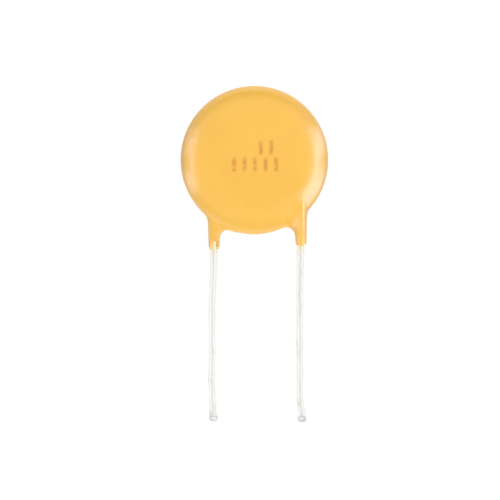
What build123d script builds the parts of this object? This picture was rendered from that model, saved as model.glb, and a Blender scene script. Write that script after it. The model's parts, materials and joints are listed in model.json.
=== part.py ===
"""Radial-leaded resettable fuse: a dipped disc on two tinned wire leads.

A wafer of conductive polymer sits between two foil electrodes.  One round lead is soldered
along each foil, and a dipped epoxy coat seals the stack and runs a little way down both leads.

The part lies on its rear face.  +Z is the disc's axis, the leads point to -Y, and the origin
is under the middle of the part's outline.
"""
import os
from math import cos, radians, sin, sqrt, tan

from build123d import *

# ------------------------------------------------------------------ driving dimensions, in mm
# Active stack
CORE_R = 4.12            # radius of the polymer wafer and of both foils
CORE_T = 0.80            # thickness of the wafer
FOIL_T = 0.05            # thickness of one foil

# Leads: round tinned wire
WIRE_R = 0.255           # 24 AWG
FRONT_INSET = 1.25       # from the foil's right edge to the front lead's axis
REAR_INSET = 1.564       # from the foil's left edge to the rear lead's axis
LEAD_RISE = 1.10         # the inner run ends this far above the disc's centre
LEAD_LENGTH = 11.76      # from the disc's lowest point to the tips
BEND_R = 8.0             # radius of the slight bends that handling leaves
FRONT_KINKS = ((0.98, 0.0), (4.38, -0.035))      # below the disc, and sideways
REAR_KINKS = ((2.78, 0.0), (4.28, -0.09))
TIP_RUN = 1.70           # length of the last run, which leans to the right and lifts
FRONT_LEAN = 0.15
REAR_LEAN = 0.10
TIP_LIFT = 0.05
CUT_ANGLE = 34.0         # the shear's angle from square, so that the cut faces the front
BURR = 0.030             # how far the sheared end spreads past the wire's side
BURR_RUN = 0.45          # length over which it spreads
DISH_R = 0.60            # the cut face is dished to this radius
DISH_RIM = 0.060         # width of the rim left around the dish

# Solder
SOLDER_FILM = 0.020      # film between wire and foil
SOLDER_HALF_W = 0.50     # half the width of the bead on the foil
SOLDER_TOP_HALF_W = 0.14 # half the width of its top, inside the wire
SOLDER_RISE = 0.40       # height of the bead
SOLDER_MARGIN = 0.05     # the bead ends this far inside the foil's edge

# Coat
RIM_COAT = 0.50          # thickness around the wafer's edge
COVER = 0.32             # thickness over the wires, at the flat of each face
SHOULDER = 2.00          # width of the rounded zone around each flat face
SHOULDER_TURN = 20.0     # how far the broad arc turns before the tight arc of the rim
LEG_WALL = 0.130         # wall of a run-down where it leaves the disc
LEG_TIP_WALL = 0.095     # wall where the rounding of the tip starts
LEG_LIP = 0.025          # wall at the very tip
LEG_ROUNDING = 0.16      # length of the rounded tip
LEG_DRIFT = 0.035        # the run-downs hang a little to the right of their wires
LEG_BLEND = 0.75         # fillet between a run-down and the disc
LEG_ROOT = 1.00          # a run-down starts inside the disc, this far below its centre
FRONT_HANG = 0.78        # from the disc's lowest point to the tip of each run-down
REAR_HANG = 1.00

# The rear lead's run-down has drawn up in the middle, and bares the wire there
NOTCH_RISE = 0.64        # from the tip of the run-down to the notch's apex
NOTCH_SHIFT = 0.125      # its apex, to the right of the wire's axis
NOTCH_LEFT = 0.20        # half-widths at the tip of the run-down
NOTCH_RIGHT = 0.15

# ------------------------------------------------------------------ sizes that follow
DISC_R = CORE_R + RIM_COAT
STACK_HALF = CORE_T / 2 + FOIL_T
WIRE_DEPTH = STACK_HALF + SOLDER_FILM + WIRE_R
DISC_HALF = WIRE_DEPTH + WIRE_R + COVER

MID_Z = DISC_HALF                            # the disc rests on its rear face
DISC_Y = LEAD_LENGTH / 2                     # the outline is centred on the origin
DISC_LOW = DISC_Y - DISC_R
TIP_Y = DISC_LOW - LEAD_LENGTH
FRONT_X = CORE_R - FRONT_INSET
REAR_X = REAR_INSET - CORE_R
FRONT_Z = MID_Z + WIRE_DEPTH
REAR_Z = MID_Z - WIRE_DEPTH

DISC_AXIS = Axis((0, DISC_Y, 0), (0, 0, 1))


def shoulder_radii():
    """Radii of the broad and the tight arc that take a face from its flat to the rim."""
    turn = radians(SHOULDER_TURN)
    det = sin(turn) * cos(turn) - (1 - sin(turn)) * (1 - cos(turn))
    broad = (SHOULDER * cos(turn) - DISC_HALF * (1 - sin(turn))) / det
    tight = (DISC_HALF * sin(turn) - SHOULDER * (1 - cos(turn))) / det
    return broad, tight


# ------------------------------------------------------------------ polymer core
with BuildPart() as polymer_core:
    with BuildSketch(Plane.XY.offset(MID_Z - CORE_T / 2)):
        with Locations((0, DISC_Y)):
            Circle(CORE_R)
    extrude(amount=CORE_T)


# ------------------------------------------------------------------ foil electrodes
def foil(base_z):
    with BuildPart() as sheet:
        with BuildSketch(Plane.XY.offset(base_z)):
            with Locations((0, DISC_Y)):
                Circle(CORE_R)
        extrude(amount=FOIL_T)
    return sheet


front_electrode = foil(MID_Z + CORE_T / 2)
rear_electrode = foil(MID_Z - STACK_HALF)


# ------------------------------------------------------------------ leads
def lead(x, z, kinks, tip_lean):
    """A round wire down from (x, z), with a sheared and slightly burred end.

    Each kink is how far it lies below the disc, and how far the wire has strayed there.
    """
    strayed = kinks[-1][1]
    points = [(x, DISC_Y + LEAD_RISE, z)]
    points += [(x + stray, DISC_LOW - drop, z) for drop, stray in kinks]
    points += [(x + strayed, TIP_Y + TIP_RUN, z), (x + strayed + tip_lean, TIP_Y, z + TIP_LIFT)]
    with BuildPart() as wire:
        with BuildLine():
            path = FilletPolyline(*points, radius=BEND_R)
        start, end, heading = path @ 0, path @ 1, path % 1
        with BuildSketch(Plane(start, x_dir=(1, 0, 0), z_dir=path % 0)):
            Circle(WIRE_R)
        sweep(path=path)

        # the burr opens out towards the cut, and runs past it
        burr = Plane(end - heading * BURR_RUN, x_dir=(1, 0, 0), z_dir=heading)
        with BuildSketch(burr):
            Circle(WIRE_R)
        with BuildSketch(burr.offset(BURR_RUN), burr.offset(2 * BURR_RUN)):
            Circle(WIRE_R + BURR)
        loft()

        # the shear leaves a slanting face, low side furthest out, with a dish in it
        cut = radians(CUT_ANGLE)
        face_centre = end + Vector(0, (WIRE_R + BURR) * tan(cut), 0)
        outward = Vector(0, -cos(cut), sin(cut))
        split(bisect_by=Plane(face_centre, z_dir=outward), keep=Keep.BOTTOM)
        dish_rise = sqrt(DISH_R**2 - (WIRE_R - DISH_RIM) ** 2)
        with Locations(face_centre + outward * dish_rise):
            Sphere(DISH_R, mode=Mode.SUBTRACT)
    return wire


front_lead = lead(FRONT_X, FRONT_Z, FRONT_KINKS, FRONT_LEAN)
rear_lead = lead(REAR_X, REAR_Z, REAR_KINKS, REAR_LEAN)


# ------------------------------------------------------------------ solder beads
def solder(x, side, wire):
    """The bead along a lead's inner run, sloping from the foil up the wire's sides."""
    foot_z = MID_Z + side * STACK_HALF
    end_radius = CORE_R - SOLDER_MARGIN - SOLDER_HALF_W
    low_y, high_y = DISC_Y - sqrt(end_radius**2 - x**2), DISC_Y + LEAD_RISE

    def section(y):
        """The bead's cross-section plane, looking along +Y with its height away from the foil."""
        return Plane((x, y, foot_z), x_dir=(-side, 0, 0), z_dir=(0, 1, 0))

    with BuildPart() as bead:
        with BuildSketch(section(low_y)) as profile:
            with BuildLine():
                Polyline(
                    (0, 0), (SOLDER_HALF_W, 0), (SOLDER_TOP_HALF_W, SOLDER_RISE), (0, SOLDER_RISE)
                )
                mirror(about=Plane.YZ)
            make_face()
        extrude(amount=high_y - low_y)
        for y in (low_y, high_y):            # rounded ends
            with BuildSketch(section(y)):
                add(profile.sketch_local)
                split(bisect_by=Plane.YZ)
            revolve(axis=Axis((x, y, 0), (0, 0, 1)))
        add(wire.part, mode=Mode.SUBTRACT)
    return bead


front_solder = solder(FRONT_X, 1, front_lead)
rear_solder = solder(REAR_X, -1, rear_lead)


# ------------------------------------------------------------------ coating
def run_down_section(x, z, hang):
    """Half section of a run-down around its own axis: a slight taper with a rounded tip."""
    tip = -DISC_R - hang
    root_r, lip_r = WIRE_R + LEG_WALL, WIRE_R + LEG_LIP
    with BuildSketch(Plane((x, DISC_Y, z))) as half:
        with BuildLine():
            Line((0, -LEG_ROOT), (root_r, -LEG_ROOT))
            flank = Line((root_r, -LEG_ROOT), (WIRE_R + LEG_TIP_WALL, tip + LEG_ROUNDING))
            TangentArc(flank @ 1, (lip_r, tip), tangent=flank % 1)
            Polyline((lip_r, tip), (0, tip), (0, -LEG_ROOT))
        make_face()
    return half.sketch


with BuildPart() as coating:
    # the dipped disc: flat faces, broad shoulders and a tight rim
    with BuildSketch(Plane((0, DISC_Y, MID_Z), x_dir=(1, 0, 0), z_dir=(0, -1, 0))):
        with BuildLine():
            broad, tight = shoulder_radii()
            flat = Line((0, DISC_HALF), (DISC_R - SHOULDER, DISC_HALF))
            shoulder = JernArc(flat @ 1, flat % 1, broad, -SHOULDER_TURN)
            JernArc(shoulder @ 1, shoulder % 1, tight, SHOULDER_TURN - 90)
            mirror(about=Plane.XZ)
            Line((0, DISC_HALF), (0, -DISC_HALF))
        make_face()
    revolve(axis=DISC_AXIS)

    # a run-down along each lead, blended into the disc all round
    for wire_x, z, hang in ((FRONT_X, FRONT_Z, FRONT_HANG), (REAR_X, REAR_Z, REAR_HANG)):
        x = wire_x + LEG_DRIFT
        add(run_down_section(x, z, hang))
        revolve(axis=Axis((x, DISC_Y, z), (0, 1, 0)))
        fillet(coating.edges(Select.NEW), radius=LEG_BLEND)

    # the drawn-up notch in front of the rear lead
    with BuildSketch(Plane((REAR_X + NOTCH_SHIFT, DISC_LOW - REAR_HANG, REAR_Z))):
        with BuildLine():
            Polyline((-NOTCH_LEFT, 0), (0, NOTCH_RISE), (NOTCH_RIGHT, 0), close=True)
        make_face()
    extrude(amount=WIRE_R + LEG_WALL, mode=Mode.SUBTRACT)

    # the coat closes on everything it seals
    for piece in (
        polymer_core,
        front_electrode,
        rear_electrode,
        front_lead,
        rear_lead,
        front_solder,
        rear_solder,
    ):
        add(piece.part, mode=Mode.SUBTRACT)


# ------------------------------------------------------------------ labels and files
NODES = {
    "polymer_core": polymer_core,
    "front_electrode": front_electrode,
    "rear_electrode": rear_electrode,
    "front_lead": front_lead,
    "rear_lead": rear_lead,
    "front_solder": front_solder,
    "rear_solder": rear_solder,
    "coating": coating,
}

os.makedirs("parts", exist_ok=True)
for name, node in NODES.items():
    node.part.label = name
    export_step(node.part, f"parts/{name}.step")
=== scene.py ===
"""Looks of a radial-leaded resettable fuse: glossy dipped epoxy over two tinned wire leads."""
import json
from math import copysign, exp, pi, radians, sqrt

import bmesh
import bpy
from mathutils import Matrix, Vector


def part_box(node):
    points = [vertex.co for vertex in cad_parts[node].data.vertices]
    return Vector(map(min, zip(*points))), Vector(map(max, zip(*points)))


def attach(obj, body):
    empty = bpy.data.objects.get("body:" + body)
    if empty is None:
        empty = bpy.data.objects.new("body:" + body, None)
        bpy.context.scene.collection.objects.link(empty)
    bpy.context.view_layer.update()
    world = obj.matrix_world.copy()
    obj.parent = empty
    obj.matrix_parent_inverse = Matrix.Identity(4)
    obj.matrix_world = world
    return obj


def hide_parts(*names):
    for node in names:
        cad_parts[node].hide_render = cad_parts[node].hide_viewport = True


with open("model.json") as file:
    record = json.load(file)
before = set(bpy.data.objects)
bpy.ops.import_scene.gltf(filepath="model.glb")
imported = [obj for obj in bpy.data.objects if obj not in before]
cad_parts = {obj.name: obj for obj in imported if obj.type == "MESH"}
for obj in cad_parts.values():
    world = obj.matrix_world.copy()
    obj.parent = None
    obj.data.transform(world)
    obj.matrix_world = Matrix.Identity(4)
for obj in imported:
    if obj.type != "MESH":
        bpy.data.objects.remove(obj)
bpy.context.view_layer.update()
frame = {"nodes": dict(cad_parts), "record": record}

MM = 0.001
nodes = frame["nodes"]


def box_mm(name):
    """Lowest and highest corner of a CAD node, in millimetres."""
    low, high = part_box(name)
    return low / MM, high / MM


# ------------------------------------------------------------------ sizes from the frame, in mm
core_low, core_high = box_mm("polymer_core")
DISC = (core_low + core_high) / 2                # middle of the disc
CORE_R = (core_high.x - core_low.x) / 2
FACE_Z = box_mm("coating")[1].z
WIRE_R = frame["record"]["mounts"][0]["dims"]["r_mm"]


def lead_axis(lead, solder):
    """Where a lead runs inside the coat: its x from the bead around it, its z from the wire."""
    bead_low, bead_high = box_mm(solder)
    return (bead_low.x + bead_high.x) / 2, box_mm(lead)[0].z + WIRE_R


FRONT_X, FRONT_Z = lead_axis("front_lead", "front_solder")
REAR_X, REAR_Z = lead_axis("rear_lead", "rear_solder")
WIRES = ((FRONT_X, FRONT_Z), (REAR_X, REAR_Z))

# ------------------------------------------------------------------ the coat's skin, in mm
WELD = 1e-4              # corners closer together than this are one
CELL = 0.055             # mesh size of the skin
SMOOTHINGS = 6           # passes that take the cells' steps off it

# the coat closes on the pieces that it seals, and their room is filled before the skin is drawn
PLUG = 0.05              # how far the filling reaches into the coat around wafer and wires
STACK_FILL = 0.65        # half the thickness of the filling for wafer, foils and beads
RUN_FILL_TOP = 1.30      # a wire's inner run is filled from this far above the disc's middle
RUN_FILL_LOW = 4.80      # to this far below it
TIP_FILL = 5.35          # and the tip of its run-down to this far,
TIP_SLACK = 0.03         # by a rod this much thinner than the wire all round

# the edge of a run-down that has sunk into its wire is put back outside it
FILM = 0.025             # the coat's least thickness over a wire
SUNK = 0.02              # how deep in the wire an edge may have sunk
EDGE_FROM = 4.90         # where the thin edges start, below the disc's middle

# a face leaves the CAD as a flat and an arc, and gets a crown instead
FACE_MIN = 1.0           # a face lies further than this from the disc's middle plane
FLAT_R = 2.62            # radius of the flat
BROAD_R = 3.635          # radius of the arc around it
CROWN_R = 3.863          # the crown runs out to here
CROWN_DROP = 0.219       # and has dropped by this much there
CROWN_POWER = 6.4        # so steeply that it joins the rim without a break

# the meniscus at each root, and the web behind it: a cone between two places, each given as x,
# how far below the disc's middle, z and radius
LEG_DRIFT = 0.035        # the run-downs hang this far to the right of their wires
REAR_LEG_X, FRONT_LEG_X = REAR_X + LEG_DRIFT, FRONT_X + LEG_DRIFT
ROOTS = (
    ((REAR_LEG_X, 3.80, REAR_Z + 0.30, 0.385), (REAR_LEG_X, 2.90, REAR_Z + 0.30, 0.87)),
    ((REAR_LEG_X, 4.95, REAR_Z, 0.365), (REAR_LEG_X, 3.20, REAR_Z + 1.05, 0.40)),
    ((FRONT_LEG_X, 3.75, FRONT_Z - 0.40, 0.385), (FRONT_X - 0.20, 2.75, FRONT_Z - 0.40, 0.76)),
    ((FRONT_LEG_X, 4.95, FRONT_Z, 0.365), (FRONT_LEG_X, 3.20, FRONT_Z - 1.05, 0.40)),
)
# where the wet coat has crept into a hollow: a place from the disc's middle, a reach and passes
HOLLOWS = (
    (-3.05, -3.55, -0.45, 1.30, 120),
    (3.45, -3.20, 0.40, 1.30, 120),
    (2.90, -2.90, 0.95, 1.30, 100),
    (-2.50, -4.10, 0.10, 1.00, 100),
    (2.95, -4.10, -0.10, 1.00, 60),
)
# where it has sagged or stands thicker: a place, a reach and a height
SAGS = (
    (0.00, -4.60, 0.00, 1.40, 0.050),
    (-1.45, -4.40, 0.00, 0.45, 0.060),
    (2.60, -1.90, 1.15, 0.80, 0.050),
)
# where an edge has been drawn along before it set: a place, a reach, and which way and how far
DRAWN = (
    (-2.43, -5.30, -0.42, 0.17, (0.00, 0.27, 0.00)),
    (-2.80, -5.60, -0.60, 0.18, (0.02, -0.04, 0.00)),
    (-2.22, -5.60, -0.60, 0.14, (0.00, 0.10, 0.00)),
    (2.54, -5.40, 0.72, 0.17, (0.11, 0.07, 0.00)),
    (3.26, -5.40, 0.72, 0.13, (-0.04, 0.05, 0.00)),
)


def rod(bm, radius, start, end, segments=48, end_radius=None):
    """A closed cylinder or cone between two points, with which a hollow is filled."""
    start, end = Vector(start), Vector(end)
    turn = (end - start).to_track_quat("Z", "Y").to_matrix().to_4x4()
    bmesh.ops.create_cone(
        bm,
        cap_ends=True,
        segments=segments,
        radius1=radius,
        radius2=end_radius or radius,
        depth=(end - start).length,
        matrix=Matrix.Translation((start + end) / 2) @ turn,
    )


def fill_hollows(bm):
    """Fills the room of the sealed pieces, and adds what has crept up at the roots."""
    stack = Vector((0, 0, STACK_FILL))
    rod(bm, CORE_R + PLUG, DISC - stack, DISC + stack, segments=96)
    for x, z in WIRES:
        rod(bm, WIRE_R + PLUG, (x, DISC.y + RUN_FILL_TOP, z), (x, DISC.y - RUN_FILL_LOW, z))
        rod(bm, WIRE_R - TIP_SLACK, (x, DISC.y, z), (x, DISC.y - TIP_FILL, z))
    for (low_x, low, low_z, low_radius), (high_x, high, high_z, high_radius) in ROOTS:
        start, end = (low_x, DISC.y - low, low_z), (high_x, DISC.y - high, high_z)
        rod(bm, low_radius, start, end, end_radius=high_radius)


def smooth(bm, verts):
    """Moves vertices towards the middle of their neighbours."""
    bmesh.ops.smooth_vert(
        bm, verts=verts, factor=0.5, use_axis_x=True, use_axis_y=True, use_axis_z=True
    )


def even_skin(bm):
    """A smooth closed mesh of even cells around all that is in bm, which it frees."""
    merged = mesh_object("merged_coat", bm)
    remesh = merged.modifiers.new("even_cells", "REMESH")
    remesh.mode = "VOXEL"
    remesh.voxel_size = CELL
    view = bpy.context.evaluated_depsgraph_get()
    skin = bmesh.new()
    skin.from_mesh(merged.evaluated_get(view).to_mesh())
    bpy.data.objects.remove(merged)
    for _ in range(SMOOTHINGS):
        smooth(skin, skin.verts)
    skin.normal_update()
    return skin


def crown(skin):
    """Crowns both faces, so that they curve without a break from the middle to the rim."""
    for vert in skin.verts:
        out = (vert.co - DISC).xy.length
        height = vert.co.z - DISC.z
        if out < CROWN_R and abs(height) > FACE_MIN:
            was = BROAD_R - sqrt(BROAD_R**2 - max(0.0, out - FLAT_R) ** 2)
            now = CROWN_DROP * (out / CROWN_R) ** CROWN_POWER
            vert.co.z -= copysign(now - was, height)
    skin.normal_update()


def creep(skin, centre, reach, passes):
    """Lets the wet coat fill the hollows around a point; what stands proud stays as it is."""
    near = [vert for vert in skin.verts if (vert.co - centre).length < reach]
    shares = [1 - ((vert.co - centre).length / reach) ** 2 for vert in near]
    for _ in range(passes):
        before = [vert.co.copy() for vert in near]
        smooth(skin, near)
        for vert, start, share in zip(near, before, shares):
            outward = (vert.co - start).dot(vert.normal)
            vert.co = start + vert.normal * max(0.0, outward) * share
        skin.normal_update()


def around(skin, centre, reach):
    """The vertices around a point, each with a share that fades from 1 to 0 over 3 reaches."""
    for vert in skin.verts:
        distance = (vert.co - centre).length / reach
        if distance < 3:
            yield vert, exp(-distance * distance)


def swell(skin, centre, reach, height):
    """Raises the skin around a point along its normals."""
    for vert, share in around(skin, centre, reach):
        vert.co += vert.normal * height * share
    skin.normal_update()


def draw_along(skin, centre, reach, shift):
    """Draws the skin around a point along with it."""
    for vert, share in around(skin, centre, reach):
        vert.co += shift * share


def cling(skin, x, z):
    """Keeps the thin edge of a run-down just outside its wire."""
    for vert in skin.verts:
        across, up = vert.co.x - x, vert.co.z - z
        away = sqrt(across**2 + up**2)
        if vert.co.y < DISC.y - EDGE_FROM and WIRE_R - SUNK < away < WIRE_R + FILM:
            vert.co.x = x + across * (WIRE_R + FILM) / away
            vert.co.z = z + up * (WIRE_R + FILM) / away


def coat_skin():
    """One even skin over the coat: its hollows filled, its creases run together."""
    bm = bmesh.new()
    bm.from_mesh(nodes["coating"].data)
    bmesh.ops.remove_doubles(bm, verts=bm.verts, dist=WELD * MM)
    bmesh.ops.scale(bm, vec=Vector((1, 1, 1)) / MM, verts=bm.verts)
    fill_hollows(bm)

    skin = even_skin(bm)
    crown(skin)
    for *place, reach, passes in HOLLOWS:
        creep(skin, DISC + Vector(place), reach, passes)
    for *place, reach, height in SAGS:
        swell(skin, DISC + Vector(place), reach, height)
    for *place, reach, shift in DRAWN:
        draw_along(skin, DISC + Vector(place), reach, Vector(shift))
    for x, z in WIRES:
        cling(skin, x, z)
    bmesh.ops.scale(skin, vec=Vector((MM, MM, MM)), verts=skin.verts)
    for face in skin.faces:
        face.smooth = True
    return mesh_object("coat_skin", skin)


def mesh_object(name, bm):
    """Turns a bmesh into an object at the origin, and frees it."""
    mesh = bpy.data.meshes.new(name)
    bm.to_mesh(mesh)
    bm.free()
    made = bpy.data.objects.new(name, mesh)
    bpy.context.scene.collection.objects.link(made)
    return made


# ------------------------------------------------------------------ shader kit
class Value:
    """A shader socket that can be reckoned with: each operator adds a Math node."""

    def __init__(self, finish, socket):
        self.finish, self.socket = finish, socket

    def maths(self, operation, *terms):
        return self.finish.node("ShaderNodeMath", {"operation": operation}, dict(enumerate(terms)))

    def __add__(self, other):
        return self.maths("ADD", self, other)

    def __sub__(self, other):
        return self.maths("SUBTRACT", self, other)

    def __mul__(self, other):
        return self.maths("MULTIPLY", self, other)

    def __rsub__(self, other):
        return self.maths("SUBTRACT", other, self)

    def __abs__(self):
        return self.maths("ABSOLUTE", self)

    __radd__ = __add__
    __rmul__ = __mul__

    def at_most(self, limit):
        return self.maths("MINIMUM", self, limit)

    def wrapped(self, period):
        """How far it is past the nearest whole multiple of period."""
        return self.maths("WRAP", self, period / 2, -period / 2)

    def ramp(self, start, end):
        """A soft step from 0 at start to 1 at end, which may lie below start."""
        settings = {"interpolation_type": "SMOOTHSTEP"}
        sockets = {"Value": self, "From Min": start, "From Max": end}
        return self.finish.node("ShaderNodeMapRange", settings, sockets)


class Finish:
    """A node material or world under construction, with one method that adds any node."""

    def __init__(self, owner):
        owner.use_nodes = True
        self.owner, self.tree = owner, owner.node_tree
        self.tree.nodes.clear()

    def node(self, kind, settings=None, sockets=None, output=0):
        made = self.tree.nodes.new(kind)
        for name, value in (settings or {}).items():
            setattr(made, name, value)
        for name, value in (sockets or {}).items():
            if isinstance(value, Value):
                self.tree.links.new(value.socket, made.inputs[name])
            else:
                made.inputs[name].default_value = value
        return Value(self, made.outputs[output])

    def place(self, scale=(1, 1, 1)):
        """Object coordinates in millimetres, stretched by scale."""
        here = self.node("ShaderNodeTexCoord", output="Object")
        return self.node("ShaderNodeMapping", None, {"Vector": here, "Scale": Vector(scale) / MM})

    def axes(self, vector, names):
        """A vector's parts along the named axes."""
        return [self.node("ShaderNodeSeparateXYZ", None, {0: vector}, name) for name in names]

    def grain(self, place, scale, detail=2.0, roughness=0.5):
        """Soft noise between 0 and 1, with scale lumps to the millimetre."""
        sockets = {"Vector": place, "Scale": scale, "Detail": detail, "Roughness": roughness}
        return self.node("ShaderNodeTexNoise", None, sockets)

    def blend(self, amount, first, second):
        """A colour between two colours.  The Mix node's sockets for colours are 6, 7 and 2."""
        sockets = {"Factor": amount, 6: first, 7: second}
        return self.node("ShaderNodeMix", {"data_type": "RGBA"}, sockets, output=2)

    def bump(self, height, distance):
        return self.node("ShaderNodeBump", None, {"Height": height, "Distance": distance})

    def surface(self, **sockets):
        """The finished shader, with its sockets named in capitals as the node has them."""
        named = {name.replace("_", " "): value for name, value in sockets.items()}
        self.close(self.node("ShaderNodeBsdfPrincipled", None, named))
        return self.owner

    def close(self, shader, kind="ShaderNodeOutputMaterial"):
        end = self.tree.nodes.new(kind)
        self.tree.links.new(shader.socket, end.inputs["Surface"])


def material(name):
    return Finish(bpy.data.materials.new(name))


# ------------------------------------------------------------------ finishes
COAT_YELLOW = (0.955, 0.540, 0.076, 1)
COAT_DEEP = (0.930, 0.510, 0.066, 1)
THIN_COAT = (0.970, 0.680, 0.230, 1)
INK = (0.720, 0.240, 0.030, 1)
BRIGHT_TIN = (0.970, 0.970, 0.945, 1)
DULL_TIN = (0.840, 0.840, 0.805, 1)
# painted shade on the leads' sheared ends and just above them
END_SHADE_GREY = (0.680, 0.675, 0.660, 1)
RESIN_STAIN = (0.970, 0.880, 0.560, 1)
CARBON_BLACK = (0.012, 0.012, 0.013, 1)
CARBON_SPECK = (0.035, 0.034, 0.033, 1)
NICKEL_DARK = (0.52, 0.50, 0.46, 1)
NICKEL_PALE = (0.70, 0.68, 0.63, 1)
SOLDER_GREY = (0.60, 0.61, 0.62, 1)
SOLDER_FROST = (0.80, 0.80, 0.80, 1)

# the print: upright bars in two rows, in mm
MARK_HALF_W = 0.12       # half-widths and half-heights of the bars
MARK_HALF_H = 0.43
MARK_EDGE = 0.09         # how far the ink bleeds at the edges of a bar
MARK_PITCH = 0.655
MARK_DEPTH = 0.10        # it is on the front only: full from this far below the face's top
UPPER_MARKS = (2, 0.73, 0.75)        # how many bars, and the middle of their row from the disc's
LOWER_MARKS = (5, 0.04, -0.29)

# places along the leads, in mm: where each starts and is full
THIN_FROM, THIN_TO = 5.10, 5.65      # the coat thins, so far below the disc's middle
THINNESS = 0.6                       # and turns this much paler
STAIN_FROM, STAIN_TO = 6.10, 5.40    # the resin stains the wires, so far below the middle
TIP_SHADE_FROM, TIP_SHADE_TO = 0.85, 0.55  # painted shade darkens the tin, so far above the tips
END_HALF_W = 0.285                   # half the width of a sheared end, seen from the front
END_HALF_H = 0.192                   # and half its height
REAR_RIM_SHADE = 0.6                       # how dark the painted shade on the rear lead's end is, against the front lead's

# the coat's gloss fades where it is seen at a slant, so that the panels don't bleach its far side
SLANT_FROM, SLANT_TO = 0.48, 0.66
SLANT_FADE = 0.85


def bar_row(x, y, count, middle_x, middle_y):
    """Ink coverage of one row of upright bars with soft edges."""
    bar_x = middle_x + (count - 1) % 2 * MARK_PITCH / 2
    bars = abs((x - bar_x).wrapped(MARK_PITCH))
    bars = bars.ramp(MARK_HALF_W + MARK_EDGE, MARK_HALF_W - MARK_EDGE)
    half_row = count * MARK_PITCH / 2
    row = abs(x - middle_x).ramp(half_row + MARK_EDGE, half_row - MARK_EDGE)
    tall = abs(y - middle_y).ramp(MARK_HALF_H + MARK_EDGE, MARK_HALF_H - MARK_EDGE)
    return bars * row * tall


def dipped_epoxy():
    """Warm yellow epoxy, glossy and slightly uneven, with a patchy print on its front face."""
    finish = material("dipped_epoxy")
    place = finish.place()
    x, y, z = finish.axes(place, "XYZ")
    x, y = x - DISC.x, y - DISC.y

    cloud = finish.grain(place, 0.35).ramp(0.30, 0.75)
    colour = finish.blend(cloud, COAT_YELLOW, COAT_DEEP)
    thin = THINNESS * y.ramp(-THIN_FROM, -THIN_TO)
    colour = finish.blend(thin, colour, THIN_COAT)

    blotches = finish.grain(place, 3.4, 3.0, 0.6).ramp(0.36, 0.58)
    front = z.ramp(DISC.z, FACE_Z - MARK_DEPTH)
    marks = bar_row(x, y, *UPPER_MARKS) + bar_row(x, y, *LOWER_MARKS)
    ink = marks * front * (0.30 + 0.50 * blotches)
    colour = finish.blend(ink, colour, INK)

    dip_waves = finish.grain(place, 0.55, 1.0)
    orange_peel = finish.grain(place, 5.0)
    slant = finish.node("ShaderNodeLayerWeight", None, {"Blend": 0.5}, "Facing")
    return finish.surface(
        Base_Color=colour,
        Roughness=0.26 + 0.08 * finish.grain(place, 1.2, 3.0) + 0.15 * ink,
        IOR=1.5,
        Specular_IOR_Level=0.15,
        Coat_Weight=1.0 - SLANT_FADE * slant.ramp(SLANT_FROM, SLANT_TO),
        Coat_IOR=1.57,
        Coat_Roughness=0.24,
        Normal=finish.bump(dip_waves + 0.015 * orange_peel, 0.05 * MM),
    )


def painted_rim_shade(x, y, lead):
    """Painted shade on the rim of a lead's sheared end, which is slanted: 1 there and 0 elsewhere.
    """
    low, high = box_mm(lead)
    from_x = (x - (high.x - END_HALF_W)) * (1 / END_HALF_W)
    from_y = (y - (low.y + END_HALF_H)) * (1 / END_HALF_H)
    squared = from_x * from_x + from_y * from_y
    return squared.ramp(0.10, 0.60) * squared.ramp(1.20, 0.95)


def tinned_copper():
    """Bright tin over drawn copper: marks along the wire, dull spots, and painted shade on the
    sheared ends and just above them.
    """
    finish = material("tinned_copper")
    place = finish.place()
    x, y = finish.axes(place, "XY")

    dull = finish.grain(finish.place((1, 0.35, 1)), 2.6, 3.0, 0.6).ramp(0.52, 0.74)
    colour = finish.blend(dull, BRIGHT_TIN, DULL_TIN)
    stain = y.ramp(DISC.y - STAIN_FROM, DISC.y - STAIN_TO)
    stain = stain * finish.grain(place, 2.0).ramp(0.35, 0.60)
    colour = finish.blend(stain, colour, RESIN_STAIN)

    # painted shade on the rims of the sheared ends, broken up by noise
    rim_shade = painted_rim_shade(x, y, "front_lead") + REAR_RIM_SHADE * painted_rim_shade(x, y, "rear_lead")
    tip_y = box_mm("rear_lead")[0].y
    # painted shade just above the tips, in patches
    tip_shade = y.ramp(tip_y + TIP_SHADE_FROM, tip_y + TIP_SHADE_TO)
    tip_shade = tip_shade * finish.grain(place, 2.3).ramp(0.42, 0.58)
    painted_end_shade = rim_shade * finish.grain(place, 3.2).ramp(0.25, 0.50) + 0.55 * tip_shade

    drawing = finish.grain(finish.place((1, 0.05, 1)), 9.0, 3.0, 0.6)
    waver = finish.grain(finish.place((1, 0.30, 1)), 0.9)
    return finish.surface(
        Base_Color=finish.blend(painted_end_shade, colour, END_SHADE_GREY),
        Metallic=1.0,
        Roughness=0.16 + 0.10 * drawing + 0.30 * dull + 0.15 * painted_end_shade,
        Normal=finish.bump(waver + 0.018 * drawing, 0.27 * MM),
    )


def carbon_polymer():
    """Matt black polymer filled with carbon."""
    finish = material("carbon_polymer")
    specks = finish.grain(finish.place(), 9.0, 4.0, 0.6)
    return finish.surface(
        Base_Color=finish.blend(specks, CARBON_BLACK, CARBON_SPECK),
        Roughness=0.65 + 0.2 * specks,
        Normal=finish.bump(specks, 0.01 * MM),
    )


def nickel_foil():
    """Nickel-plated foil with a nodular, matt surface."""
    finish = material("nickel_foil")
    nodules = finish.grain(finish.place(), 22.0, 3.0, 0.7)
    return finish.surface(
        Base_Color=finish.blend(nodules, NICKEL_DARK, NICKEL_PALE),
        Metallic=1.0,
        Roughness=0.42 + 0.18 * nodules,
        Normal=finish.bump(nodules, 0.008 * MM),
    )


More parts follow.
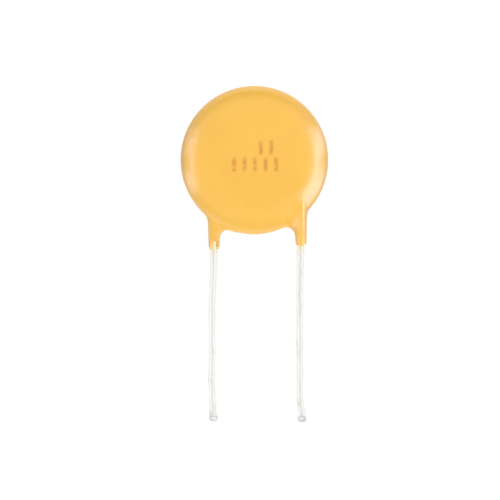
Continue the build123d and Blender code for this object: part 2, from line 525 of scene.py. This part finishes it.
def set_solder():
    """Satin solder with the frosted patches of slow cooling."""
    finish = material("set_solder")
    frost = finish.grain(finish.place(), 4.0, 4.0, 0.65)
    return finish.surface(
        Base_Color=finish.blend(frost, SOLDER_GREY, SOLDER_FROST),
        Metallic=1.0,
        Roughness=0.25 + 0.25 * frost,
        Normal=finish.bump(frost, 0.01 * MM),
    )


# ------------------------------------------------------------------ the part
def dress(piece, finish):
    piece.data.materials.clear()
    piece.data.materials.append(finish)


def make_part():
    """Dresses the CAD nodes, and puts the skin in the coating's place."""
    skin = coat_skin()
    dress(skin, dipped_epoxy())
    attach(skin, "root")
    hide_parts("coating")

    tin, foil, solder = tinned_copper(), nickel_foil(), set_solder()
    dress(nodes["polymer_core"], carbon_polymer())
    for side in ("front", "rear"):
        dress(nodes[f"{side}_lead"], tin)
        dress(nodes[f"{side}_electrode"], foil)
        dress(nodes[f"{side}_solder"], solder)
    return skin


# ------------------------------------------------------------------ studio, in metres and degrees
VIEW_WIDTH = 31.25 * MM
VIEW_X, VIEW_Y = -0.275 * MM, 0.2425 * MM
CAMERA_HEIGHT = 0.45
SENSOR = 36              # the camera's sensor, in mm

WHITE = (1, 1, 1, 1)
ROSY = (1.0, 0.77, 1.0)                  # the panels' colour
FLOOR_Z = -0.02 * MM
FLOOR_HALF = 3
FLOOR_GLOW = 0.95                        # how white it looks
FLOOR_FAINT = (0.08, 0.08, 0.08, 1)      # what the part's shadow shows on
FLOOR_GREY = (0.55, 0.55, 0.55, 1)       # what throws light back at the part

# the lamps that light the part: name, azimuth and radiance
SOFTBOXES = (("near_softbox", -86, 3.58), ("far_softbox", 80, 2.95))
SOFTBOX_HEIGHT = 35
SOFTBOX_DISTANCE = 0.50
SOFTBOX_SIZE = (0.36, 0.44)
# the panels that the coat alone reflects: name, azimuth, height, width, tallness and radiance.
# Those to the right and left are split in two with a smaller one higher in the gap, so that the
# disc's face stays clear of them when it is seen from the side.
PANELS = (
    ("right_panel_far", 16, 15, 0.18, 0.72, 4.2),
    ("right_panel_near", -21, 15, 0.22, 0.72, 4.8),
    ("right_panel_high", 0, 43, 0.17, 0.15, 3.6),
    ("root_panel", -35, 46, 0.12, 0.24, 1.7),
    ("left_panel_far", 163, 14, 0.15, 0.68, 2.5),
    ("left_panel_near", 196, 14, 0.14, 0.68, 2.9),
    ("left_panel_high", 176, 45, 0.20, 0.17, 1.6),
)
PANEL_DISTANCE = 0.45

AMBIENT = 0.42           # how bright the room is as a light
# in a reflection it is white with these shades: where each starts and is full, and how deep it is
OVERHEAD = (0.86, 0.995, 0.21)           # along Z
LOW_DOWN = (0.45, 0.05, 0.20)            # along Z
FAR_WALL = (0.58, 0.98, 0.76)            # along Y
NEAR_WALL = (-0.35, -0.95, 0.32)         # along Y


def place_camera():
    """Straight above the part, far enough off to show hardly any perspective."""
    lens = bpy.data.cameras.new("camera")
    lens.sensor_width = SENSOR
    lens.lens = SENSOR * (CAMERA_HEIGHT - DISC.z * MM) / VIEW_WIDTH
    lens.clip_start, lens.clip_end = 0.01, 20
    camera = bpy.data.objects.new("camera", lens)
    camera.location = VIEW_X, VIEW_Y, CAMERA_HEIGHT
    bpy.context.scene.collection.objects.link(camera)
    bpy.context.scene.camera = camera


def seen_directly(finish):
    """1 for rays that look at a surface themselves or in a reflection, and 0 for its light."""
    camera, glossy, clear = (
        finish.node("ShaderNodeLightPath", output=f"Is {kind} Ray")
        for kind in ("Camera", "Glossy", "Transmission")
    )
    return (camera + glossy + clear).at_most(1.0)


def lay_floor():
    """A pale floor that looks white and keeps a faint shadow."""
    bm = bmesh.new()
    bmesh.ops.create_grid(bm, x_segments=1, y_segments=1, size=FLOOR_HALF)
    bmesh.ops.translate(bm, vec=(0, 0, FLOOR_Z), verts=bm.verts)
    floor = mesh_object("floor", bm)
    finish = material("white_floor")
    glow = finish.node("ShaderNodeEmission", None, {"Color": WHITE, "Strength": FLOOR_GLOW})
    faint = finish.node("ShaderNodeBsdfDiffuse", None, {"Color": FLOOR_FAINT})
    looked_at = finish.node("ShaderNodeAddShader", None, {0: glow, 1: faint})
    lit = finish.node("ShaderNodeBsdfDiffuse", None, {"Color": FLOOR_GREY})
    mix = {0: seen_directly(finish), 1: lit, 2: looked_at}
    finish.close(finish.node("ShaderNodeMixShader", None, mix))
    dress(floor, finish.owner)


def softbox(name, azimuth, height, distance, size, radiance, only=None):
    """An area lamp that faces the part; only is the piece that reflects it, if it is a panel.

    A softbox lights all pieces and no gloss shows it.  A panel is a reflection on its one piece,
    and the others are flagged off from it.
    """
    lamp = bpy.data.lights.new(name, "AREA")
    lamp.shape = "RECTANGLE"
    lamp.size, lamp.size_y = size
    lamp.energy = radiance * pi * lamp.size * lamp.size_y
    lamp.color = ROSY if only else WHITE[:3]
    # stray hits would let it into the kind of ray that it is hidden from
    lamp.cycles.use_multiple_importance_sampling = False
    holder = bpy.data.objects.new(name, lamp)
    turn = Matrix.Rotation(radians(azimuth), 4, "Z") @ Matrix.Rotation(radians(90 - height), 4, "Y")
    upright = Matrix.Rotation(pi / 2, 4, "Z")
    holder.matrix_world = turn @ Matrix.Translation((0, 0, distance)) @ upright
    holder.visible_camera = False
    if only:
        lit = bpy.data.collections.new(name + "_receives")
        lit.objects.link(only)
        holder.light_linking.receiver_collection = lit
        holder.light_linking.blocker_collection = lit
        holder.visible_diffuse = False
    else:
        holder.visible_glossy = False
    bpy.context.scene.collection.objects.link(holder)


def light_studio(skin):
    for name, azimuth, radiance in SOFTBOXES:
        softbox(name, azimuth, SOFTBOX_HEIGHT, SOFTBOX_DISTANCE, SOFTBOX_SIZE, radiance)
    for name, azimuth, height, width, tall, radiance in PANELS:
        softbox(name, azimuth, height, PANEL_DISTANCE, (width, tall), radiance, only=skin)


def shade(along, start, full, depth):
    return depth * along.ramp(start, full)


def build_room():
    """The world: white to the camera, darker in places in a reflection, even as a light."""
    world = Finish(bpy.data.worlds.new("studio"))
    way = world.node("ShaderNodeTexCoord", output="Generated")
    y, z = world.axes(way, "YZ")
    open_room = 1 - shade(z, *OVERHEAD) - shade(z, *LOW_DOWN)
    glow = open_room * (1 - shade(y, *FAR_WALL)) * (1 - shade(y, *NEAR_WALL))

    seen, even, room = (
        world.node("ShaderNodeBackground", None, {"Color": WHITE, "Strength": strength})
        for strength in (1.0, AMBIENT, glow)
    )
    camera_ray = world.node("ShaderNodeLightPath", output="Is Camera Ray")
    glossy_ray = world.node("ShaderNodeLightPath", output="Is Glossy Ray")
    unseen = world.node("ShaderNodeMixShader", None, {0: glossy_ray, 1: even, 2: room})
    mix = world.node("ShaderNodeMixShader", None, {0: camera_ray, 1: unseen, 2: seen})
    world.close(mix, "ShaderNodeOutputWorld")
    bpy.context.scene.world = world.owner


place_camera()
lay_floor()
light_studio(make_part())
build_room()
bpy.context.scene.view_settings.view_transform = "Standard"
